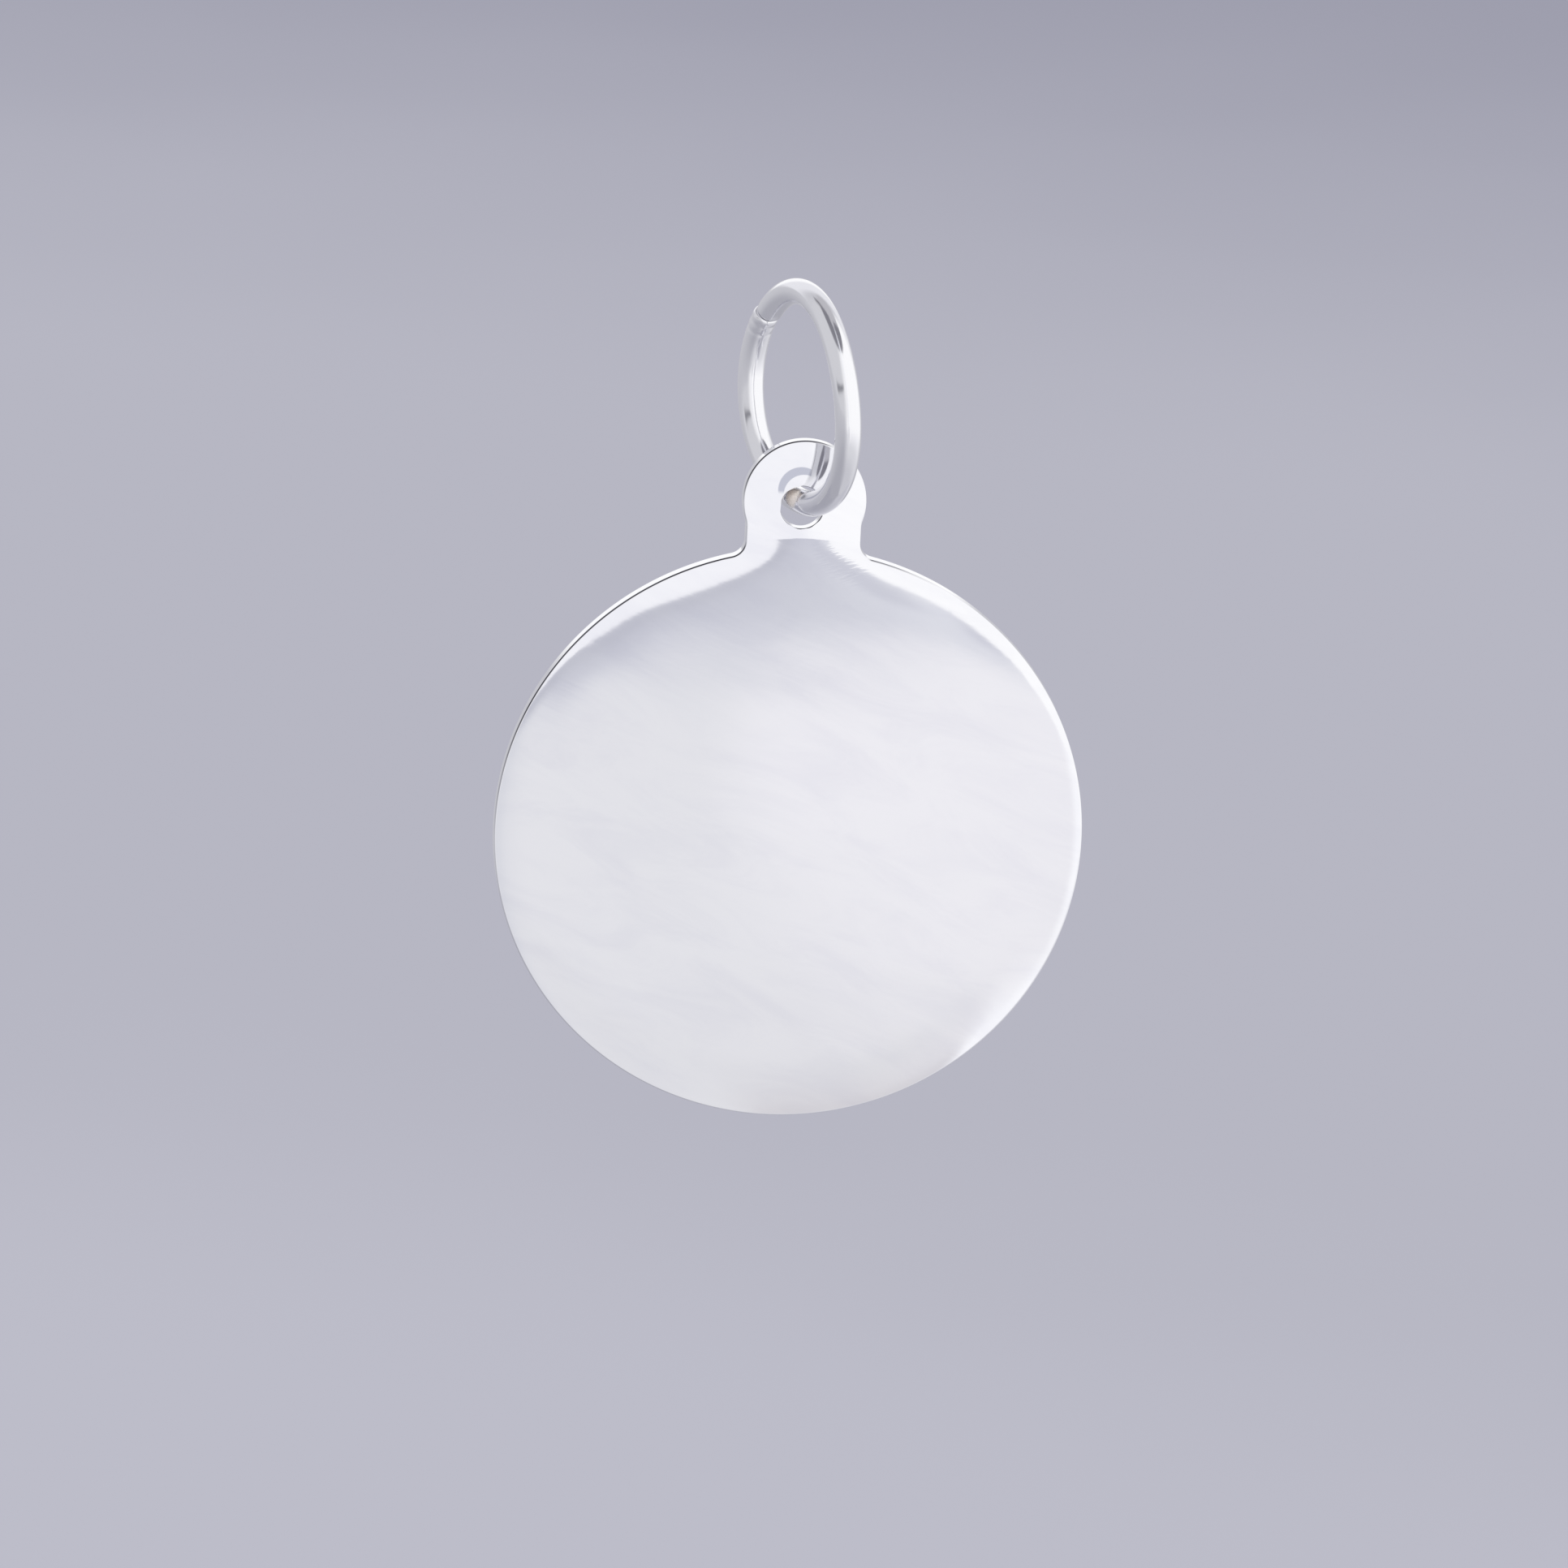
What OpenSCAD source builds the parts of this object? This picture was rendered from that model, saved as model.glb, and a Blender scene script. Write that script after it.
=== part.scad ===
// Round blank tag hanging on a jump ring.
// The tag is one stamped piece of polished sheet: a disc with a small pierced ear on its top edge.
// Millimetres. +Z is up and the disc's front face looks along -Y. The origin is the highest point
// of the jump ring's inside, where a chain carries the pendant.

/* [Disc] */
// Diameter of the disc
disc_d = 18; // [14:0.5:24]
// Thickness of the sheet
sheet_t = 0.5; // [0.4:0.05:0.6]
// Radius of the rounding along the sheet's edges
edge_r = 0.1; // [0.06:0.01:0.12]

/* [Ear] */
// Diameter of the ear's round head
head_d = 3.76; // [3.7:0.02:4.2]
// Height of the head's centre above the disc's edge
head_rise = 1.5; // [1.4:0.05:1.7]
// Width of the neck between the head and the disc
neck_w = 3.5; // [3.3:0.02:3.5]
// Radius of the hollow corners where the neck meets the disc
foot_r = 0.5; // [0.4:0.05:0.6]
// Height above the disc's edge at which the ear bends back
bend_rise = 0.4; // [0.35:0.05:0.5]
// Angle by which the ear leans back
lean = 3.5; // [1:0.5:5]

/* [Hole] */
// Diameter of the hole in the ear
hole_d = 1.3; // [1.25:0.05:1.4]
// Width of the bevel round the hole's rims
hole_bevel = 0.04; // [0.03:0.01:0.08]
// Height of the hole's centre below the head's centre
hole_drop = 0.19; // [0.1:0.01:0.2]
// Distance of the hole's centre to the left of the ear's middle
hole_side = 0.08; // [0:0.02:0.2]

/* [Jump ring] */
// Diameter of the wire
wire_d = 0.8; // [0.7:0.05:0.8]
// Inner diameter of the ring
ring_id = 5.65; // [5.6:0.05:7]
// Angle that the ring is turned away from the disc's face
ring_turn = 67.6; // [66:0.2:90]
// Angle from the ring's top, towards the back, at which its cut ends meet
seam_angle = 52; // [30:1:70]
// Width of the slit between the cut ends
seam_gap = 0.05; // [0.03:0.01:0.1]

/* [Fit] */
// Clearance between the wire and the top of the hole that hangs on it
hang_gap = 0.1; // [0.08:0.01:0.12]

/* [Hidden] */
$fn = 96;
silver = [0.9, 0.9, 0.93];
// Cut shapes run this far past what they cut
past = 1;
disc_r = disc_d / 2;
half_t = sheet_t / 2;
head_r = head_d / 2;
neck_x = neck_w / 2;
bend_z = disc_r + bend_rise;
// Height of the head's and the hole's centres above the bend, measured up the leaning ear
head_up = head_rise - bend_rise;
hole_up = head_up - hole_drop;
// Centre of the circle that hollows each corner between the neck and the disc. The circle bites
// slightly into both, so that its arc crosses their edges
foot_bite = 0.03;
foot_x = neck_x + foot_r - foot_bite;
foot_z = sqrt((disc_r + foot_r - foot_bite) ^ 2 - foot_x ^ 2);
// Depth of the rounded band that follows the corner, and the angle that it turns through
foot_depth = 0.5;
foot_sweep = atan(foot_z / foot_x);
// Place of the hole's centre in the disc's frame
hole_y = hole_up * sin(lean);
hole_reach = bend_z + hole_up * cos(lean);
// Height of the tag's centre of weight above the disc's centre
weight_z = 0.38;
// The tag turns this far in its own plane, until its weight hangs plumb below the wire
plumb = atan((hole_side - hole_y / tan(ring_turn)) / (hole_reach - weight_z));
// Height of the hole's centre once it hangs on the wire
hole_z = -ring_id + hang_gap - hole_d / 2;
ring_r = (ring_id + wire_d) / 2;
seam_sweep = seam_gap / ring_r * 180 / PI;

// Rectangle from x = 0 to reach, centred on the sheet's middle, with its outer corners rounded
module rounded_edge(reach) {
    translate([0, -half_t]) square([reach - edge_r, sheet_t]);
    translate([0, edge_r - half_t]) square([reach, sheet_t - 2 * edge_r]);
    for (side = [-1, 1]) translate([reach - edge_r, side * (half_t - edge_r)]) circle(edge_r);
}

// Upright round plate with rounded edges
module round_plate(radius) {
    rotate([90, 0, 0]) rotate_extrude() rounded_edge(radius);
}

// Straight strip of the neck's width with rounded sides, standing on z = 0
module neck_strip(height) {
    linear_extrude(height) for (side = [0, 1]) mirror([side, 0]) rounded_edge(neck_x);
}

// Hollow corner at the right of the neck's foot
module foot() {
    translate([foot_x, 0, foot_z])
        rotate([90, 180, 0])
            rotate_extrude(angle = foot_sweep)
                translate([foot_r + foot_depth, 0]) mirror([1, 0]) rounded_edge(foot_depth);
}

// Half space above the plane that halves the bend, seen from the disc's frame
module above_bend() {
    size = 4 * head_r;
    translate([0, 0, bend_z]) rotate([-lean / 2, 0, 0])
        translate([-size / 2, -size / 2, 0]) cube(size);
}

// Places the ear's parts, drawn upright from the bend, on the leaning ear
module on_ear() {
    translate([0, 0, bend_z]) rotate([-lean, 0, 0]) children();
}

// The disc, its two hollow corners and the neck up to the bend
module flat_part() {
    round_plate(disc_r);
    for (side = [0, 1]) mirror([side, 0, 0]) foot();
    difference() {
        translate([0, 0, disc_r - past]) neck_strip(2 * past);
        above_bend();
    }
}

// The neck above the bend and the round head
module ear() {
    intersection() {
        on_ear() {
            translate([0, 0, head_up]) round_plate(head_r);
            translate([0, 0, -sheet_t]) neck_strip(sheet_t + head_up);
        }
        above_bend();
    }
}

// Round hole square to the ear, with bevelled rims
module hole() {
    on_ear() translate([-hole_side, 0, hole_up]) rotate([90, 0, 0]) {
        cylinder(h = sheet_t + 2 * past, d = hole_d, center = true);
        for (side = [0, 1]) mirror([0, 0, side])
            translate([0, 0, half_t - hole_bevel])
                cylinder(h = 2 * hole_bevel, d1 = hole_d, d2 = hole_d + 4 * hole_bevel);
    }
}

// Turns and lowers the tag until its hole hangs on the wire
module hung() {
    translate([0, 0, hole_z])
        rotate([0, plumb, 0])
            translate([hole_side, -hole_y, -hole_reach]) children();
}

module pendant_disc() {
    color(silver)
        hung() difference() {
            union() {
                flat_part();
                ear();
            }
            hole();
        }
}

module jump_ring() {
    color(silver)
        translate([0, 0, -ring_id / 2])
            rotate([0, 0, -ring_turn])
                rotate([90, -90 - seam_angle - seam_sweep / 2, 0])
                    rotate_extrude(angle = 360 - seam_sweep)
                        translate([ring_r, 0]) circle(d = wire_d);
}

pendant_disc();
jump_ring();
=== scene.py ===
import math
from functools import reduce

import bpy
import numpy as np
from bpy.props import FloatProperty, FloatVectorProperty, PointerProperty
from mathutils import Matrix, Vector
from mathutils.geometry import delaunay_2d_cdt


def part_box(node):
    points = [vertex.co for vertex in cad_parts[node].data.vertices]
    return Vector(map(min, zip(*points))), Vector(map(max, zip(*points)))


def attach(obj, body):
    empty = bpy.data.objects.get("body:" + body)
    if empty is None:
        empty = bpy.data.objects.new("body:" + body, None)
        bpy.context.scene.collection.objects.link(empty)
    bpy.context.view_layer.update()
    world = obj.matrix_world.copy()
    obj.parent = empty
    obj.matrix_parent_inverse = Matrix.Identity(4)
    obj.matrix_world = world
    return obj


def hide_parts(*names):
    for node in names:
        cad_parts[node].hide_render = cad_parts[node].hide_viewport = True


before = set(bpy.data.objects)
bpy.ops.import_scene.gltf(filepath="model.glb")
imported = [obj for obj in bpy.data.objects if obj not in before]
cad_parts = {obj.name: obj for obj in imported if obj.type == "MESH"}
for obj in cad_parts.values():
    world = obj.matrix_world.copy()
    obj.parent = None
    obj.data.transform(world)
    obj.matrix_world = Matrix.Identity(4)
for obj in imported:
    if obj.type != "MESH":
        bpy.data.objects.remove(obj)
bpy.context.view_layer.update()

bl_info = {
    "name": "Disc Pendant",
    "version": (1, 0, 0),
    "blender": (4, 5, 0),
    "location": "3D View > Sidebar > Pendant",
    "description": "Makes a round silver tag on a jump ring, with its studio",
    "category": "Add Mesh",
}

MM = 0.001
tag_low, tag_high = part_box("pendant_disc")
ring_low, ring_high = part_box("jump_ring")
# The ring's inside top is the frame's origin, so its box starts one wire above it
WIRE = round(ring_high.z, 5)
# Sideways in the frame, and in the tag's own plane
ACROSS = np.array([1.0, 0, 0])
# Depth and reach of the roll-off that the buffing wheel leaves at an edge: a short and a long one
ROLL_OFFS = ((0.004 * MM, 0.15 * MM), (0.0223 * MM, 0.685 * MM))
# The hollows that the wheel has dug beside the neck, in millimetres: place across and above the
# disc's top, depth and reach
HOLLOWS = ((-1.5, 0.75, 0.009, 0.6), (1.3, 0.9, 0.009, 0.6))
# How much smaller the tag and thinner the wire is than its solid, so that it stays in its box
TAG_CLEARANCE = 0.002 * MM
WIRE_CLEARANCE = 0.003 * MM
# A dark line of painted shade lies on the face's corner around this direction, anticlockwise from
# the right.
# It starts where the corner faces that way by the first share, and is full from the second one
PAINTED_SHADE_TOWARDS = math.radians(122)
PAINTED_SHADE_STARTS, PAINTED_SHADE_FULL = 0.5, 0.85
# Beige of dried buffing compound, and its roughness
CRUST = "#f4ece5"
CRUST_ROUGHNESS = 0.6


def linear(hex_colour):
    """Red, green and blue in linear light of an sRGB hex colour"""
    shares = [int(hex_colour[i : i + 2], 16) / 255 for i in (1, 3, 5)]
    return [c / 12.92 if c <= 0.04045 else ((c + 0.055) / 1.055) ** 2.4 for c in shares]


def opaque(hex_colour):
    """The same with full opacity, as a colour socket takes it"""
    return [*linear(hex_colour), 1.0]


def length(name, default, description):
    """A length that the panel shows"""
    return FloatProperty(
        name=name, description=description, default=default, min=0, unit="LENGTH", precision=5
    )


def turn(name, degrees, description):
    """An angle that the panel shows"""
    return FloatProperty(
        name=name, description=description, default=math.radians(degrees), unit="ROTATION"
    )


def tint(name, hex_colour, description):
    """A colour that the panel shows"""
    return FloatVectorProperty(
        name=name,
        description=description,
        default=linear(hex_colour),
        min=0,
        max=1,
        subtype="COLOR",
    )


class TagSettings(bpy.types.PropertyGroup):
    """Sizes and colour of the stamped tag"""

    disc_diameter: length(
        "Disc Diameter", round(tag_high.x - tag_low.x, 4), "Diameter of the disc"
    )
    sheet: length("Sheet", 0.5 * MM, "Thickness of the sheet")
    edge_radius: length("Edge Radius", 0.06 * MM, "Rounding of the sheet's edges")
    head_diameter: length("Head Diameter", 3.76 * MM, "Diameter of the ear's round head")
    head_rise: length("Head Rise", 1.5 * MM, "Height of the head's centre above the disc")
    neck_width: length("Neck Width", 3.5 * MM, "Width of the neck under the head")
    foot_radius: length("Foot Radius", 0.5 * MM, "Hollow corner between neck and disc")
    waist_radius: length("Waist Radius", 0.8 * MM, "Hollow corner between neck and head")
    hole_diameter: length("Hole Diameter", 1.3 * MM, "Diameter of the hole in the ear")
    hole_left: length("Hole Offset", 0.08 * MM, "How far the hole is left of the middle")
    hole_rise: length("Hole Rise", 0.81 * MM, "Height of the hole above the bend")
    bend_rise: length("Bend Rise", 0.5 * MM, "Height of the bend above the disc")
    lean: turn("Lean", 3.5, "How far the ear leans back")
    plumb: turn("Plumb", 0.329, "Turn of the tag in its own plane as it hangs on the wire")
    silver: tint("Silver", "#f6f6f9", "Colour of the polished sheet")


class RingSettings(bpy.types.PropertyGroup):
    """Sizes and colour of the jump ring"""

    wire: length("Wire", WIRE, "Diameter of the wire")
    inside: length("Inside", round(-ring_low.z - WIRE, 5), "Inner diameter of the ring")
    facing: turn(
        "Facing",
        math.degrees(math.atan2(ring_high.y - WIRE / 2, ring_high.x - WIRE / 2)),
        "Turn of the ring away from the disc's face",
    )
    seam: turn("Seam", 52, "Place of the cut ends, from the top towards the back")
    slit: length("Slit", 0.02 * MM, "Width of the slit between the cut ends")
    step: length("Step", 0.06 * MM, "How far the cut ends stand off from each other sideways")
    taper: length("Taper", 0.07 * MM, "How far the dressed cut ends are rounded down")
    bow: length("Bow", 0.166 * MM, "How far the wire stands off to the left halfway up")
    tilt: length("Tilt", 0.061 * MM, "How far the ring's top stands off to the left")
    twist: length("Twist", 0.07 * MM, "How far the ring is bent out of round")
    sag: length("Sag", 0.022 * MM, "How far the ring's top lies below a true circle's")
    silver: tint("Silver", "#f4f4f7", "Colour of the polished wire")


class StudioSettings(bpy.types.PropertyGroup):
    """Camera, paper and light"""

    distance: length("Camera Distance", 0.4, "From the camera to the tag")
    view_width: length("View Width", 47.82 * MM, "Width of the picture at the tag")
    azimuth: turn("Camera Azimuth", -5.23, "Camera's place round the tag, from straight ahead")
    elevation: turn("Camera Elevation", 16.37, "Camera's height above level")
    roll: turn("Camera Roll", 2.513, "How far upright things lean to the right in the picture")
    floor_drop: length("Floor Drop", 0.15, "Height that the tag hangs above the floor")
    paper: tint("Paper", "#b8b8c4", "Colour of the floor below the tag")
    shade: tint("Far Paper", "#9999a8", "Colour of the floor far from the tag")
    brightness: FloatProperty(
        name="Brightness", description="Strength of the light", default=1.06, min=0
    )


# Settings of the nodes that do sums
TIMES = {"operation": "MULTIPLY"}
PLUS = {"operation": "ADD"}
TIMES_PLUS = {"operation": "MULTIPLY_ADD"}
DISTANCE = {"operation": "DISTANCE"}


def connect(tree, node, inputs):
    """Gives a node's inputs their values or links. A node stands for its first output."""
    for name, value in inputs.items():
        if isinstance(value, bpy.types.Node):
            value = next(output for output in value.outputs if not output.is_unavailable)
        if isinstance(value, bpy.types.NodeSocket):
            tree.links.new(value, node.inputs[name])
        else:
            node.inputs[name].default_value = value


def add_node(tree, kind, settings, inputs):
    """Adds a node, sets its properties, and gives its inputs their values or links"""
    node = tree.nodes.new(kind)
    for name, value in settings.items():
        setattr(node, name, value)
    connect(tree, node, inputs)
    return node


def arc(centre, radius, start, end, step):
    """Points along an arc without its last one, and the way out of the metal at each. An arc that
    turns clockwise is a hollow, so its way out is towards its centre."""
    count = max(2, math.ceil(abs(end - start) * radius / step))
    angles = np.linspace(start, end, count, endpoint=False)
    radial = np.stack([np.cos(angles), np.sin(angles)], 1)
    return np.array(centre) + radius * radial, radial * math.copysign(1, end - start)


def disc_centre(s):
    """Middle of the disc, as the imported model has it"""
    middle_x, middle_y = (tag_low.x + tag_high.x) / 2, tag_low.y + s.sheet / 2
    return Vector((middle_x, middle_y, tag_low.z + s.disc_diameter / 2))


def tag_outline(s):
    """Outline of the flat tag, anticlockwise from the disc's lowest point, and the way out at each
    point. Its height only grows up the right half, which comes first and has as many points."""
    disc, head, neck = s.disc_diameter / 2, s.head_diameter / 2, s.neck_width / 2
    head_z = disc + s.head_rise
    foot_x, waist_x = neck + s.foot_radius, neck + s.waist_radius
    foot_z = math.sqrt((disc + s.foot_radius) ** 2 - foot_x**2)
    waist_z = head_z - math.sqrt((head + s.waist_radius) ** 2 - waist_x**2)
    foot_turn = math.atan2(foot_z, foot_x)
    head_turn = math.atan2(waist_z - head_z, waist_x)
    side = np.linspace(foot_z, waist_z, 8, endpoint=False)
    neck_side = np.stack([np.full(len(side), neck), side], 1)
    parts = [
        arc((0, 0), disc, -math.pi / 2, foot_turn, 0.1 * MM),
        arc((foot_x, foot_z), s.foot_radius, foot_turn + math.pi, math.pi, 0.04 * MM),
        (neck_side, np.tile([1.0, 0.0], (len(side), 1))),
        arc((waist_x, waist_z), s.waist_radius, math.pi, head_turn + math.pi, 0.04 * MM),
        arc((0, head_z), head, head_turn, math.pi / 2, 0.05 * MM),
    ]
    points, out = (np.concatenate(column) for column in zip(*parts))
    mirror = np.array([-1, 1])
    points = np.concatenate([points, [(0, head_z + head)], points[:0:-1] * mirror])
    out = np.concatenate([out, [(0, 1)], out[:0:-1] * mirror])
    return points, out


def worn_face(s, outline):
    """A function of points on the flat sheet that gives how far the buffed face lies below a flat
    one, and its slope. A buffing wheel gives way at an edge and rounds it over a millimetre or
    two."""
    cell = 0.05 * MM
    half = s.disc_diameter / 2
    # The grid has room for the ear above the disc, and for the roll-off around both
    across = np.arange(-half - 4 * MM, half + 4 * MM, cell)
    up = np.arange(-half - 4 * MM, half + 8 * MM, cell)
    right = outline[: len(outline) // 2 + 1]
    reach = np.interp(up, right[:, 1], right[:, 0], left=-cell, right=-cell)
    outside = 1 - np.clip((reach[:, None] - abs(across)) / cell + 0.5, 0, 1)
    waves_x, waves_z = np.fft.fftfreq(len(across), cell), np.fft.fftfreq(len(up), cell)
    waves = waves_z[:, None] ** 2 + waves_x**2
    soft = sum(depth * np.exp(-2 * (math.pi * blur) ** 2 * waves) for depth, blur in ROLL_OFFS)
    fall = np.fft.ifft2(np.fft.fft2(outside) * soft).real
    slope_z, slope_x = np.gradient(fall, cell)
    layers = np.stack([fall, slope_x, slope_z], 2)

    def sample(points):
        place = (points - [across[0], up[0]]) / cell
        whole = place.astype(int)
        x, z = whole.T
        share_x, share_z = (place - whole).T[:, :, None]
        low = layers[z, x] * (1 - share_x) + layers[z, x + 1] * share_x
        high = layers[z + 1, x] * (1 - share_x) + layers[z + 1, x + 1] * share_x
        found = low * (1 - share_z) + high * share_z
        for x, z, depth, spread in HOLLOWS:
            away = points - [x * MM, half + z * MM]
            dug = depth * MM * np.exp(-((away / (spread * MM)) ** 2).sum(1) / 2)
            found[:, 0] += dug
            found[:, 1:] -= dug[:, None] * away / (spread * MM) ** 2
        return found

    return sample


def spread_points(s, outline, hole, rim):
    """Points that fill the face, closer together in the ear, clear of the outline and the hole"""
    half = s.disc_diameter / 2
    filled = []
    ear_low, ear_high = half - 1 * MM, half + 4 * MM
    for low, high, gap in ((-half, ear_low, 0.17 * MM), (ear_low, ear_high, 0.08 * MM)):
        rows = np.arange(low, high, gap * math.sqrt(0.75))
        for number, z in enumerate(rows):
            x = np.arange(-half, half, gap) + (number % 2) * gap / 2
            row = np.stack([x, np.full(len(x), z)], 1)
            filled.append(np.concatenate([row, np.full((len(row), 1), gap)], 1))
    filled = np.concatenate(filled)
    right = outline[: len(outline) // 2 + 1]
    reach = np.interp(filled[:, 1], right[:, 1], right[:, 0], left=0, right=0)
    filled = filled[abs(filled[:, 0]) < reach]
    # Every second point of the outline is near enough to measure from
    to_edge = np.min(np.linalg.norm(filled[:, None, :2] - outline[None, ::2], axis=2), axis=1)
    clear = to_edge > s.edge_radius + filled[:, 2] * 0.6
    clear &= np.linalg.norm(filled[:, :2] - hole, axis=1) > rim + 0.05 * MM
    return filled[clear, :2]


def divide_face(flat, outline_count, hole_count, hole, hole_radius):
    """Triangles between the outline and the hole, whose points come first and in this order"""
    edges = []
    for start, count in ((0, outline_count), (outline_count, hole_count)):
        edges += [(start + i, start + (i + 1) % count) for i in range(count)]
    corners, _, tiles, origin, _, _ = delaunay_2d_cdt(
        [Vector(point) for point in flat / MM], edges, [], 1, 1e-7, True
    )
    if len(corners) != len(flat):
        raise RuntimeError("the face of the tag could not be divided")
    tiles = np.array([[origin[v][0] for v in tile] for tile in tiles])
    middles = flat[tiles].mean(1)
    right = flat[: outline_count // 2 + 1]
    inside = abs(middles[:, 0]) < np.interp(middles[:, 1], right[:, 1], right[:, 0])
    inside &= np.linalg.norm(middles - hole, axis=1) > hole_radius
    return tiles[inside]


def fold(s, points, depth):
    """Places on the bent sheet of points of the flat one, at a depth in front of its middle, with
    the way up along the sheet and the way out of its front there"""
    bend = s.disc_diameter / 2 + s.bend_rise
    # The sheet bends over twice this length
    soft = 0.15 * MM
    bend_radius = 2 * soft / s.lean
    along = np.clip(points[:, 1] - (bend - soft), 0, 2 * soft)
    angle = along / bend_radius
    past = np.maximum(points[:, 1] - (bend + soft), 0)
    sine, cosine = np.sin(angle), np.cos(angle)
    middle_y = bend_radius * (1 - cosine) + past * sine
    middle_z = np.minimum(points[:, 1], bend - soft) + bend_radius * sine + past * cosine
    nothing = np.zeros(len(points))
    up = np.stack([nothing, sine, cosine], 1)
    front = np.stack([nothing, -cosine, sine], 1)
    middle = np.stack([points[:, 0], middle_y, middle_z], 1)
    return middle + front * np.asarray(depth)[:, None], up, front


def round_corner(s, points, way, radius, worn, side):
    """Rows over a rounded corner of the sheet, from the face of one side to the sheet's edge: each
    row's places, normals, and share of the dark line of painted shade at the upper left"""
    first = np.arctan(np.sum(worn[:, 1:] * way, axis=1))
    facing = way @ np.array([math.cos(PAINTED_SHADE_TOWARDS), math.sin(PAINTED_SHADE_TOWARDS)])
    painted_shade = np.clip((facing - PAINTED_SHADE_STARTS) / (PAINTED_SHADE_FULL - PAINTED_SHADE_STARTS), 0, 1)
    rows = []
    for share in np.linspace(0, 1, 8)[1:]:
        angle = first + (math.pi / 2 - first) * share
        moved = points + way * (radius * (np.sin(angle) - np.sin(first)))[:, None]
        depth = s.sheet / 2 - worn[:, 0] - radius * (np.cos(first) - np.cos(angle))
        place, up, front = fold(s, moved, side * depth)
        along = way[:, :1] * ACROSS + way[:, 1:] * up
        normal = side * front * np.cos(angle)[:, None] + along * np.sin(angle)[:, None]
        # The painted shade lies on the middle of the front corner only
        rows.append((place, normal, painted_shade * (side > 0 and 0.2 < share < 0.8)))
    return rows


def make_piece(name, places, faces, normals, material):
    """A mesh object with smooth faces and, where they are given, its own normals"""
    mesh = bpy.data.meshes.new(name)
    mesh.from_pydata(places.tolist(), [], faces)
    if mesh.validate():
        raise RuntimeError(f"the mesh of {name} is broken")
    mesh.polygons.foreach_set("use_smooth", [True] * len(mesh.polygons))
    if normals is not None:
        mesh.normals_split_custom_set_from_vertices(normals.tolist())
    mesh.materials.append(material)
    mesh.update()
    piece = bpy.data.objects.new(name, mesh)
    bpy.context.scene.collection.objects.link(piece)
    return piece


def within(tree, borders):
    """1 inside soft borders and 0 outside. Each border has a value that changes from one number,
    at the border's outer side, to another, at its inner side."""
    shares = [
        add_node(
            tree,
            "ShaderNodeMapRange",
            {"interpolation_type": "SMOOTHSTEP"},
            {"Value": value, "From Min": low, "From Max": high},
        )
        for value, low, high in borders
    ]
    return reduce(
        lambda one, other: add_node(tree, "ShaderNodeMath", TIMES, {0: one, 1: other}), shares
    )


def laid_over(tree, colour, layers):
    """A colour with others laid over it in order, each by its own share from 0 to 1"""
    for share, shade in layers:
        inputs = {"Factor": share, "A": colour, "B": shade}
        colour = add_node(tree, "ShaderNodeMix", {"data_type": "RGBA"}, inputs)
    return colour


def streaks(tree, place, size, slant, detail, roughness=0.5, distortion=0.0):
    """Noise in streaks of a size in millimetres, slanted in the tag's plane by degrees"""
    laid = add_node(
        tree,
        "ShaderNodeMapping",
        {"vector_type": "TEXTURE"},
        {
            "Vector": place,
            "Rotation": (0, math.radians(slant), 0),
            "Scale": [MM * v for v in size],
        },
    )
    return add_node(
        tree,
        "ShaderNodeTexNoise",
        {},
        {
            "Vector": laid,
            "Scale": 1.0,
            "Detail": detail,
            "Roughness": roughness,
            "Distortion": distortion,
        },
    )


def relief(tree, layers):
    """Height in metres of several layers of marks together. Each layer has its marks, from 0 to 1,
    and how high they rise."""
    heights = [add_node(tree, "ShaderNodeMath", TIMES, {0: m, 1: rise}) for m, rise in layers]
    return reduce(
        lambda one, other: add_node(tree, "ShaderNodeMath", PLUS, {0: one, 1: other}), heights
    )


def clean_of_crust(tree):
    """0 where polishing paste has dried to a matt crust, where the wire bears in the hole, and 1
    elsewhere"""
    place = add_node(tree, "ShaderNodeTexCoord", {}, {}).outputs["Object"]
    uneven = add_node(
        tree,
        "ShaderNodeTexNoise",
        {},
        {"Vector": place, "Scale": 0.15 / MM, "Detail": 3.0, "Roughness": 0.6},
    )
    crust = (-0.31 * MM, -0.17 * MM, -5.87 * MM)
    away = add_node(tree, "ShaderNodeVectorMath", DISTANCE, {0: place, 1: crust})
    away = add_node(tree, "ShaderNodeMath", TIMES_PLUS, {0: uneven, 1: 0.3 * MM, 2: away})
    return within(tree, [(away, 0.4 * MM, 0.56 * MM)])


def new_material(name):
    """A new material with nodes, and its node tree"""
    material = bpy.data.materials.new(name)
    material.use_nodes = True
    return material, material.node_tree


def lay_silver(tree, colour, roughness, clean, height):
    """Gives the shader polished silver where it is clean, crust elsewhere, and raised marks"""
    change = roughness - CRUST_ROUGHNESS
    dulled = {0: clean, 1: change, 2: CRUST_ROUGHNESS}
    marks = {"Height": height, "Distance": 1.0, "Strength": 1.0}
    connect(
        tree,
        tree.nodes["Principled BSDF"],
        {
            "Base Color": laid_over(tree, opaque(CRUST), [(clean, colour)]),
            "Metallic": clean,
            "Roughness": add_node(tree, "ShaderNodeMath", TIMES_PLUS, dulled),
            "Normal": add_node(tree, "ShaderNodeBump", {}, marks),
        },
    )


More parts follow.
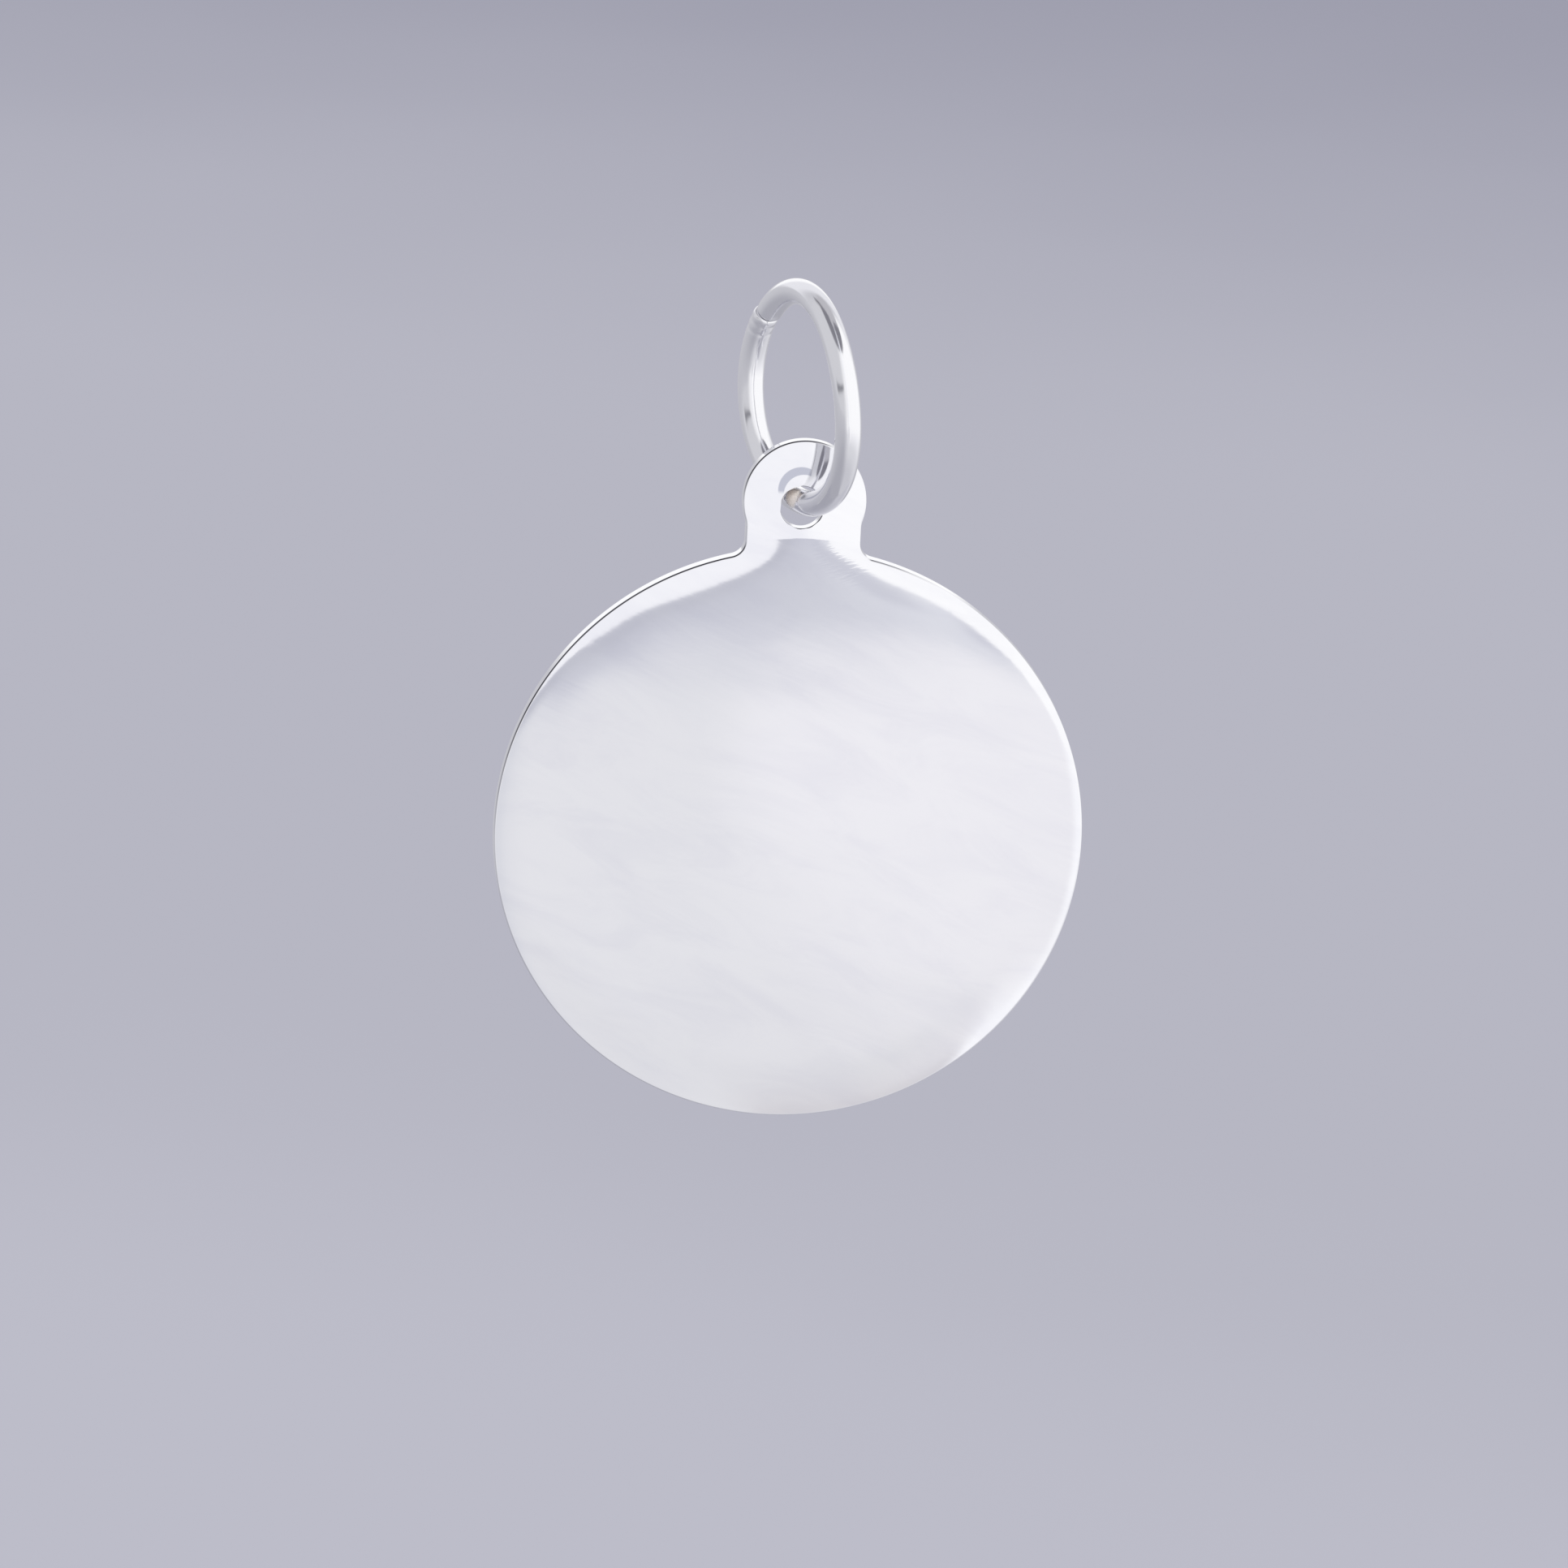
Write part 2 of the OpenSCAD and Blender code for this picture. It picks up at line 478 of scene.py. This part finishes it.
def mirror_polished_silver_sheet(colour):
    """Sterling silver sheet, polished to a mirror on a buffing wheel. It shows the studio sharply,
    and only faint slanted wheel marks and a slow unevenness of the sheet disturb the picture."""
    material, tree = new_material("mirror_polished_sterling_silver_sheet")
    place = add_node(tree, "ShaderNodeTexCoord", {}, {}).outputs["Object"]

    def from_place(start, *centre):
        """How far a place is from a centre that is given in millimetres"""
        centre = [MM * v for v in centre]
        return add_node(tree, "ShaderNodeVectorMath", DISTANCE, {0: start, 1: centre})

    # Length, depth and width of the unevenness and of the marks, their slant, detail and height.
    # Real marks are hundredths of a millimetre wide; they are drawn coarser, so that they show
    layers = [
        (streaks(tree, place, (6.0, 4.0, 3.0), 25, 1.0), 2.4e-6),
        (streaks(tree, place, (2.6, 1.0, 0.45), 24, 2.0), 8.0e-8),
        (streaks(tree, place, (1.4, 0.5, 0.1), 20, 2.0), 2.2e-8),
    ]
    # Short strokes of the wheel roughen the face to the right of the neck
    strokes = streaks(tree, place, (0.4, 0.3, 0.07), -14, 1.0)
    near = within(tree, [(from_place(place, 1.4, 0, -7.6), 1.3 * MM, 0.7 * MM)])
    layers.append((add_node(tree, "ShaderNodeMath", TIMES, {0: strokes, 1: near}), 1.6e-7))
    # Soft clouds of haze, where the buffing compound was wiped off, dull the face a little
    wisps = streaks(tree, place, (4.2, 2.4, 1.4), 22, 5.0, roughness=0.6, distortion=0.8)
    hazy = within(tree, [(wisps, 0.35, 0.75)])
    # A grey crescent of painted reflection, the shade under the card as a sloped band would mirror
    # it, lies above the hole between two circles that aren't concentric; it also ends at the
    # sheet's middle, at a height, and at the right
    flat = add_node(tree, "ShaderNodeVectorMath", TIMES, {0: place, 1: (1, 0, 1)})
    x, y, z = add_node(tree, "ShaderNodeSeparateXYZ", {}, {0: place}).outputs
    borders = (
        (from_place(flat, -0.04, 0, -5.64), 0.72, 0.68),
        (from_place(flat, 0.04, 0, -5.78), 0.59, 0.62),
        (y, 0.1, -0.1),
        (z, -5.8, -5.65),
        (x, 0.3, 0.2),
    )
    painted_crescent = within(tree, [(value, low * MM, high * MM) for value, low, high in borders])
    # A dark line of painted shade is laid along the upper left corner
    left = add_node(tree, "ShaderNodeAttribute", {"attribute_name": "painted_shade"}, {}).outputs["Fac"]
    colour = laid_over(
        tree,
        [*colour, 1.0],
        [(hazy, opaque("#f0f0f5")), (painted_crescent, opaque("#c4c6d2")), (left, opaque("#5a595f"))],
    )
    # Inside the hole there is the same crust as on the wire
    out_of_hole = within(tree, [(from_place(flat, 0, 0, -6.2), 0.66 * MM, 0.68 * MM)])
    clean = {0: out_of_hole, 1: clean_of_crust(tree)}
    clean = add_node(tree, "ShaderNodeMath", {"operation": "MAXIMUM"}, clean)
    lay_silver(tree, colour, 0.025, clean, relief(tree, layers))
    return material


def polished_drawn_silver_wire(colour):
    """Round silver wire, drawn through a die and bent, then tumbled bright. The eye sees a sharp
    shine with faint lines along the wire."""
    material, tree = new_material("polished_drawn_sterling_silver_wire")
    # Coordinates along, out of and across the wire before it was bent
    place = add_node(tree, "ShaderNodeAttribute", {"attribute_name": "straight_wire"}, {})
    place = place.outputs["Vector"]
    # Slow dents, then die lines. Those are thinner than this on real wire; they are drawn so wide
    # that they show
    layers = [
        (streaks(tree, place, (1.2, 0.32, 0.32), 0, 1.0), 4.4e-6),
        (streaks(tree, place, (3.0, 0.05, 0.05), 0, 1.0), 4.0e-8),
    ]
    lay_silver(tree, [*colour, 1.0], 0.12, clean_of_crust(tree), relief(tree, layers))
    return material


class PENDANT_OT_stamp_tag(bpy.types.Operator):
    """Makes the stamped and polished tag with its pierced ear"""

    bl_idname = "pendant.stamp_tag"
    bl_label = "Stamp the Tag"

    def execute(self, context):
        s = context.scene.pendant_tag
        half, hole_radius, rim = s.disc_diameter / 2, s.hole_diameter / 2, 0.04 * MM
        outline, out = tag_outline(s)
        outline = outline * (1 - TAG_CLEARANCE / half)
        hole = np.array([-s.hole_left, half + s.bend_rise + s.hole_rise])
        hole_points, hole_out = arc(hole, hole_radius, math.pi, -math.pi, 0.04 * MM)
        # The flat part of the face ends where the corners' rounding starts
        borders = (
            (outline - out * s.edge_radius, out, s.edge_radius),
            (hole_points - hole_out * rim, hole_out, rim),
        )
        fill = spread_points(s, outline, hole, hole_radius + rim)
        flat = np.concatenate([borders[0][0], borders[1][0], fill])
        tiles = divide_face(flat, len(outline), len(hole_points), hole, hole_radius)
        worn = worn_face(s, outline)(flat)

        places, normals, faces = [], [], []
        # Share of the dark line of painted shade at each point of the tag
        painted_shade = [np.zeros(2 * len(flat))]
        for side in (1, -1):
            place, up, front = fold(s, flat, side * (s.sheet / 2 - worn[:, 0]))
            places.append(place)
            normals.append(side * front + worn[:, 1:2] * ACROSS + worn[:, 2:3] * up)
            faces += (tiles if side > 0 else tiles[:, ::-1] + len(flat)).tolist()
        count, start = 2 * len(flat), 0
        for points, way, radius in borders:
            own = np.arange(start, start + len(points))
            rows = [own]
            for side in (1, -1):
                corner = round_corner(s, points, way, radius, worn[own], side)
                for place, normal, dark in corner:
                    places.append(place)
                    normals.append(normal)
                    painted_shade.append(dark)
                made = count + np.arange(len(corner) * len(points)).reshape(len(corner), -1)
                rows += list(made[::side])
                count += made.size
            rows.append(own + len(flat))
            for near, far in zip(rows, rows[1:]):
                faces += np.stack([near, far, np.roll(far, -1), np.roll(near, -1)], 1).tolist()
            start += len(points)
        places, normals = np.concatenate(places), np.concatenate(normals)
        normals /= np.linalg.norm(normals, axis=1)[:, None]
        hung = np.array(Matrix.Translation(disc_centre(s)) @ Matrix.Rotation(s.plumb, 4, "Y"))
        places = places @ hung[:3, :3].T + hung[:3, 3]
        normals = normals @ hung[:3, :3].T
        material = mirror_polished_silver_sheet(s.silver)
        piece = make_piece("silver_tag", places, faces, normals, material)
        # The mesh keeps the share of painted shade, which the material reads
        attribute = piece.data.attributes.new("painted_shade", "FLOAT", "POINT")
        attribute.data.foreach_set("value", np.concatenate(painted_shade))
        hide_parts("pendant_disc")
        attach(piece, "tag")
        return {"FINISHED"}


class PENDANT_OT_bend_ring(bpy.types.Operator):
    """Makes the jump ring, bent from round wire, with its cut ends"""

    bl_idname = "pendant.bend_ring"
    bl_label = "Bend the Jump Ring"

    def execute(self, context):
        s = context.scene.pendant_ring
        wire, loop = s.wire / 2, (s.inside + s.wire) / 2
        around, tip_rows, body_rows = 64, 12, 420
        span = 2 * math.pi - s.slit / loop
        # Stations along the wire, and how far its dressed cut ends are drawn in there
        rounding = np.linspace(0, math.pi / 2, tip_rows)
        tips = 2.2 * s.taper * (1 - np.cos(rounding)) / loop
        drawn_in = s.taper * (1 - np.sin(rounding))
        body = np.linspace(tips[-1], span - tips[-1], body_rows)[1:-1]
        stations = np.concatenate([tips, body, span - tips[::-1]])
        drawn = np.concatenate([drawn_in, np.zeros(len(body)), drawn_in[::-1]])
        # The offset of the cut ends fades along this angle. Pliers have dented the lower end twice
        spring = math.radians(28)
        dents_at, dent_depth, dent_spread = (0.3 * MM, 0.62 * MM), 0.014 * MM, 0.07 * MM
        facing = np.array([math.cos(s.facing), -math.sin(s.facing), 0])
        axis = np.array([math.sin(s.facing), math.cos(s.facing), 0])
        centre = np.array([0, 0, -s.inside / 2])
        angles = np.linspace(0, 2 * math.pi, around, endpoint=False)
        outwards, sideways = np.cos(angles), np.sin(angles)
        places, straight = [], []
        for station, less in zip(stations, drawn):
            angle = s.seam + s.slit / loop / 2 + station
            radial = math.cos(angle) * np.array([0, 0, 1.0]) - math.sin(angle) * facing
            late, early = math.exp(-(span - station) / spring), math.exp(-station / spring)
            aside = s.step / 2 * (late - early)
            dents = sum(
                math.exp(-(((station * loop - far) / dent_spread) ** 2)) for far in dents_at
            )
            radius = wire - less - WIRE_CLEARANCE - dent_depth * dents
            # The ring was closed by hand, so it isn't quite flat and round
            at_top = (1 + math.cos(angle)) / 2
            twisted = s.twist * math.sin(2 * angle)
            left = s.bow * math.sin(angle) ** 2 + s.tilt * at_top - twisted
            lower = s.sag * at_top - twisted
            places.append(
                centre
                + radial * (loop + radius * outwards)[:, None]
                + axis * (aside + radius * sideways)[:, None]
                - np.array([left, 0, lower])
            )
            along = np.full(around, station * loop)
            straight.append(np.stack([along, wire * outwards, wire * sideways], 1))
        rows = np.arange(len(stations) * around).reshape(-1, around)
        near, far = rows[:-1], rows[1:]
        faces = np.stack([near, np.roll(near, -1, 1), np.roll(far, -1, 1), far], 2)
        faces = [*faces.reshape(-1, 4).tolist(), rows[0, ::-1].tolist(), rows[-1].tolist()]
        material = polished_drawn_silver_wire(s.silver)
        piece = make_piece("silver_ring", np.concatenate(places), faces, None, material)
        attribute = piece.data.attributes.new("straight_wire", "FLOAT_VECTOR", "POINT")
        attribute.data.foreach_set("vector", np.concatenate(straight).ravel())
        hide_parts("jump_ring")
        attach(piece, "ring")
        return {"FINISHED"}


# The light tent as the metal sees it. Each line of TENT lays a colour over the ones before it,
# inside straight soft borders: sideways * azimuth + upwards * elevation + back * depth grows from
# one number, where the colour starts, to the other, where it is full. Azimuth and elevation are in
# degrees; azimuth is 0 towards the front and grows to the right; depth is 1 straight behind.
# Several lines share these borders: the right end and both ends of what lies straight ahead, the
# near end of the table, the top of the wide front card, and the left end of the shade under it
RIGHT_END = (-1, 0, 0, -22, -14)
AHEAD = ((1, 0, 0, -4, 0), RIGHT_END)
TABLE = (0, 1, 0, -30, -24)
CARD_TOP = (0, -1, 0, -60, -55)
SHADE = (0.55, 1, 0, -14.0, -13.5)
TENT_BASE = "#aaaab2"
TENT = (
    # Floor, brighter to the right and towards the front card
    ("#c6c6cb", ((0, 1, 0, -45, 0),)),
    ("#c8c8ce", ((1, 0, 0, -60, 20), (-1, 0, 0, -150, -110))),
    ("#dadade", ((1, 0, 0, -40, 10), (-1, 0, 0, -150, -110), (0, 1, 0, -62, -34))),
    ("#f2f2f5", ((1, 0, 0, -20, 10), (-1, 0, 0, -130, -95), (0, 1, 0, -36, -20))),
    # Overhead, with the dark opening between the cards, then the left side and the back
    ("#bab9be", ((0, 1, 0, 52, 60),)),
    (
        "#7f7e86",
        (
            (1, 0, 0, -140, -120), (-1, 0, 0, -115, -95), (0, 1, 0, 54, 59), (0, -1, 0, -87, -80),
        ),
    ),
    (
        "#75737a",
        (
            (1, 0, 0, -138, -128), (-1, 0, 0, 100, 110), (0, 1, 0, 45, 50), (0, -1, 0, -64, -58),
        ),
    ),
    (
        "#cfcfd3",
        (
            (1, 0, 0, -130, -112), (-1, 0, 0, -20, 0), (0, 1, 0, -9, -5), (0, -1, 0, -62, -54),
        ),
    ),
    ("#e8e8ec", ((0, 0, 1, 0.5, 0.68), (0, 1, 0, 1, 9), (0, -1, 0, -60, -50))),
    ("#ffffff", ((0, 0, 1, 0.86, 0.93), (0, 1, 0, -3, 3), (0, -1, 0, -60, -50))),
    # The wide front card
    ("#ffffff", ((1, 0, 0, -38, 8), (-1, 0, 0, -140, -112), (0, 1, 0, -24, -14), CARD_TOP)),
    # The gap in the tent's side that the camera looks through
    (
        "#77777d",
        (
            (1, 0, 0, -86, -72), (-1, 0, 0, 12, 34), (-0.35, 1, 0, 23.5, 27.5),
            (0.35, -1, 0, -32.5, -28.5),
        ),
    ),
    # The table top straight ahead, from left to right
    ("#dadbe0", (*AHEAD, TABLE)),
    ("#e5e5e8", (*AHEAD, TABLE, (1, 0, 0, 1.4, 3.6))),
    ("#eeedf0", (*AHEAD, TABLE, (1, 0, 0, 4.8, 6.0))),
    (
        "#e1e1e4",
        (
            *AHEAD, TABLE, (1, 0, 0, 1.4, 3.6), (-1, 0, 0, -7.0, -5.8), (0, -1, 0, 17.0, 17.9),
        ),
    ),
    ("#f0eff2", (*AHEAD, (1, 0, 0, 4.8, 5.3), (0, 1, 0, -17.1, -16.3))),
    ("#fcfcfe", (*AHEAD, TABLE, (1, 0, 0, 7.9, 8.9))),
    # Its darker near end, with a bright line at the right
    ("#d6d4d7", (RIGHT_END, TABLE, (1, 0, 0, 4.6, 5.4), (0, -1, 0, 16.9, 20.2))),
    ("#fcfcfe", (RIGHT_END, TABLE, (2.2, 1, 0, -3.3, -2.2), (0, -1, 0, 17.2, 18.6))),
    # The shade under the card, darker to the left and next to the card
    ("#dfe0e6", (*AHEAD, SHADE, (-0.38, 1, 0, -18.15, -17.65), (0, 1, 0, -16.12, -15.5))),
    ("#cacbd4", (*AHEAD, SHADE, (-1, 0, 0, -6.2, -5.0), (0, 1, 0, -16.1, -15.42))),
    (
        "#cccdd6",
        (
            *AHEAD, (-0.2, 1, 0, -16.35, -16.1), (1, 0, 0, 5.1, 5.7), (-1, 0, 0, -6.3, -5.9),
        ),
    ),
    (
        "#cfd0d9",
        (
            *AHEAD, (-0.2, 1, 0, -16.45, -16.25), (1, 0, 0, 6.4, 6.8), (-1, 0, 0, -7.8, -7.3),
        ),
    ),
    ("#c2c3cc", (*AHEAD, (0, 1, 0, -15.5, -15.0), (-1, 0, 0, -5.1, -4.6))),
    # The card's lower edge
    ("#f6f6f9", (*AHEAD, (-0.07, 1, 0, -14.97, -14.85), CARD_TOP)),
    (
        "#f6f6f9",
        (
            *AHEAD, (1, 0, 0, 2.9, 3.5), (-1, 0, 0, -5.0, -4.6), (0, 1, 0, -14.84, -14.72),
            CARD_TOP,
        ),
    ),
    ("#ffffff", (*AHEAD, (1, 0, 0, 5.0, 6.0), (-0.07, 1, 0, -14.95, -14.8), CARD_TOP)),
    ("#ffffff", (*AHEAD, (1, 0, 0, 6.0, 6.3), (0.4, 1, 0, -12.05, -11.9), CARD_TOP)),
)


def light_tent(tree):
    """Colour of the light tent by direction"""
    way = add_node(tree, "ShaderNodeTexCoord", {}, {}).outputs["Generated"]
    x, y, z = add_node(tree, "ShaderNodeSeparateXYZ", {}, {0: way}).outputs
    ahead = add_node(tree, "ShaderNodeMath", TIMES, {0: y, 1: -1.0})
    degrees = []
    for operation, inputs in (("ARCTAN2", {0: x, 1: ahead}), ("ARCSINE", {0: z})):
        angle = add_node(tree, "ShaderNodeMath", {"operation": operation}, inputs)
        inputs = {0: angle, 1: 180 / math.pi}
        degrees.append(add_node(tree, "ShaderNodeMath", TIMES, inputs))
    azimuth, elevation = degrees
    layers = []
    for shade, borders in TENT:
        inside = []
        for sideways, upwards, back, low, high in borders:
            value = add_node(tree, "ShaderNodeMath", TIMES, {0: elevation, 1: upwards})
            for start, share in ((azimuth, sideways), (y, back)):
                if share:
                    inputs = {0: start, 1: share, 2: value}
                    value = add_node(tree, "ShaderNodeMath", TIMES_PLUS, inputs)
            inside.append((value, low, high))
        layers.append((within(tree, inside), opaque(shade)))
    return laid_over(tree, opaque(TENT_BASE), layers)


def studio_paper(s):
    """Matt seamless paper, lavender grey. Its colour is painted lightest under the tag and darkens
    evenly away from it, a painted pool of light, with hardly visible clouds; from below it isn't
    seen at all."""
    material, tree = new_material("matt_seamless_paper")
    place = add_node(tree, "ShaderNodeTexCoord", {}, {}).outputs["Object"]
    clouds = add_node(
        tree,
        "ShaderNodeTexNoise",
        {},
        {"Vector": place, "Scale": 14.0, "Detail": 2.0, "Roughness": 0.5},
    )
    away = add_node(tree, "ShaderNodeVectorMath", DISTANCE, {0: place, 1: (0, 0, 0)})
    away = add_node(tree, "ShaderNodeMath", TIMES_PLUS, {0: clouds, 1: 0.05, 2: away})
    # Painted shade: the paper's colour steps darker twice away from the tag, in place of the
    # light's fall-off
    near = within(tree, [(away, 0.45, 0.54)])
    far = within(tree, [(away, 0.675, 0.89)])
    layers = [(near, opaque("#b2b2be")), (far, [*s.shade, 1.0])]
    colour = laid_over(tree, [*s.paper, 1.0], layers)
    shader = tree.nodes["Principled BSDF"]
    connect(tree, shader, {"Base Color": colour, "Roughness": 1.0, "Specular IOR Level": 0.0})
    under = add_node(tree, "ShaderNodeNewGeometry", {}, {}).outputs["Backfacing"]
    clear = add_node(tree, "ShaderNodeBsdfTransparent", {}, {})
    shown = add_node(tree, "ShaderNodeMixShader", {}, {0: under, 1: shader, 2: clear})
    connect(tree, tree.nodes["Material Output"], {"Surface": shown})
    return material


class PENDANT_OT_set_studio(bpy.types.Operator):
    """Sets up the camera, the paper floor and the soft light"""

    bl_idname = "pendant.set_studio"
    bl_label = "Set Up the Studio"

    def execute(self, context):
        s = context.scene.pendant_studio
        disc = disc_centre(context.scene.pendant_tag)
        level = Vector((math.cos(s.azimuth), math.sin(s.azimuth), 0))
        back = Vector(
            (
                math.sin(s.azimuth) * math.cos(s.elevation),
                -math.cos(s.azimuth) * math.cos(s.elevation),
                math.sin(s.elevation),
            )
        )
        upright = back.cross(level)
        right = level * math.cos(s.roll) + upright * math.sin(s.roll)
        top = upright * math.cos(s.roll) - level * math.sin(s.roll)
        # The picture's middle is a little above and to the left of the disc's middle
        aim = disc + top * 1.475 * MM - right * 0.114 * MM
        camera = bpy.data.objects.new("camera", bpy.data.cameras.new("camera"))
        camera.data.lens = camera.data.sensor_width * s.distance / s.view_width
        camera.data.clip_end = 20
        camera.matrix_world = Matrix.Translation(aim + back * s.distance) @ Matrix(
            (right, top, back)
        ).transposed().to_4x4()
        context.scene.collection.objects.link(camera)
        context.scene.camera = camera

        reach = 12.0
        corners = reach * np.array([(-1, -1, 0), (1, -1, 0), (1, 1, 0), (-1, 1, 0)])
        floor = make_piece("paper_floor", corners, [[0, 1, 2, 3]], None, studio_paper(s))
        # The painted pool of light on the paper lies a little to the left of the tag
        floor.location = (-0.2, 0, disc.z - s.floor_drop)
        floor.visible_glossy = False

        world = bpy.data.worlds.new("studio")
        context.scene.world = world
        world.use_nodes = True
        tree = world.node_tree
        path = add_node(tree, "ShaderNodeLightPath", {}, {}).outputs
        # The camera sees far paper beyond the floor, the silver sees the tent, the rest is white
        colour = laid_over(
            tree,
            opaque("#ffffff"),
            [
                (path["Is Camera Ray"], [*s.shade, 1.0]),
                (path["Is Glossy Ray"], light_tent(tree)),
            ],
        )
        background = {"Color": colour, "Strength": s.brightness}
        connect(tree, tree.nodes["Background"], background)
        context.scene.view_settings.view_transform = "Standard"
        return {"FINISHED"}


class PENDANT_PT_bench(bpy.types.Panel):
    """Lists the sizes and colours, and the steps that make the picture"""

    bl_label = "Pendant"
    bl_idname = "PENDANT_PT_bench"
    bl_space_type = "VIEW_3D"
    bl_region_type = "UI"
    bl_category = "Pendant"

    def draw(self, context):
        for kind, settings in (
            (PENDANT_OT_stamp_tag, context.scene.pendant_tag),
            (PENDANT_OT_bend_ring, context.scene.pendant_ring),
            (PENDANT_OT_set_studio, context.scene.pendant_studio),
        ):
            box = self.layout.box()
            for name in settings.bl_rna.properties.keys():
                if name not in {"rna_type", "name"}:
                    box.prop(settings, name)
            box.operator(kind.bl_idname)


CLASSES = (
    TagSettings,
    RingSettings,
    StudioSettings,
    PENDANT_OT_stamp_tag,
    PENDANT_OT_bend_ring,
    PENDANT_OT_set_studio,
    PENDANT_PT_bench,
)


def register():
    for kind in CLASSES:
        bpy.utils.register_class(kind)
    bpy.types.Scene.pendant_tag = PointerProperty(type=TagSettings)
    bpy.types.Scene.pendant_ring = PointerProperty(type=RingSettings)
    bpy.types.Scene.pendant_studio = PointerProperty(type=StudioSettings)


def unregister():
    del bpy.types.Scene.pendant_studio
    del bpy.types.Scene.pendant_ring
    del bpy.types.Scene.pendant_tag
    for kind in reversed(CLASSES):
        bpy.utils.unregister_class(kind)


def main():
    register()
    bpy.ops.pendant.set_studio()
    bpy.ops.pendant.stamp_tag()
    bpy.ops.pendant.bend_ring()


if __name__ == "__main__":
    main()
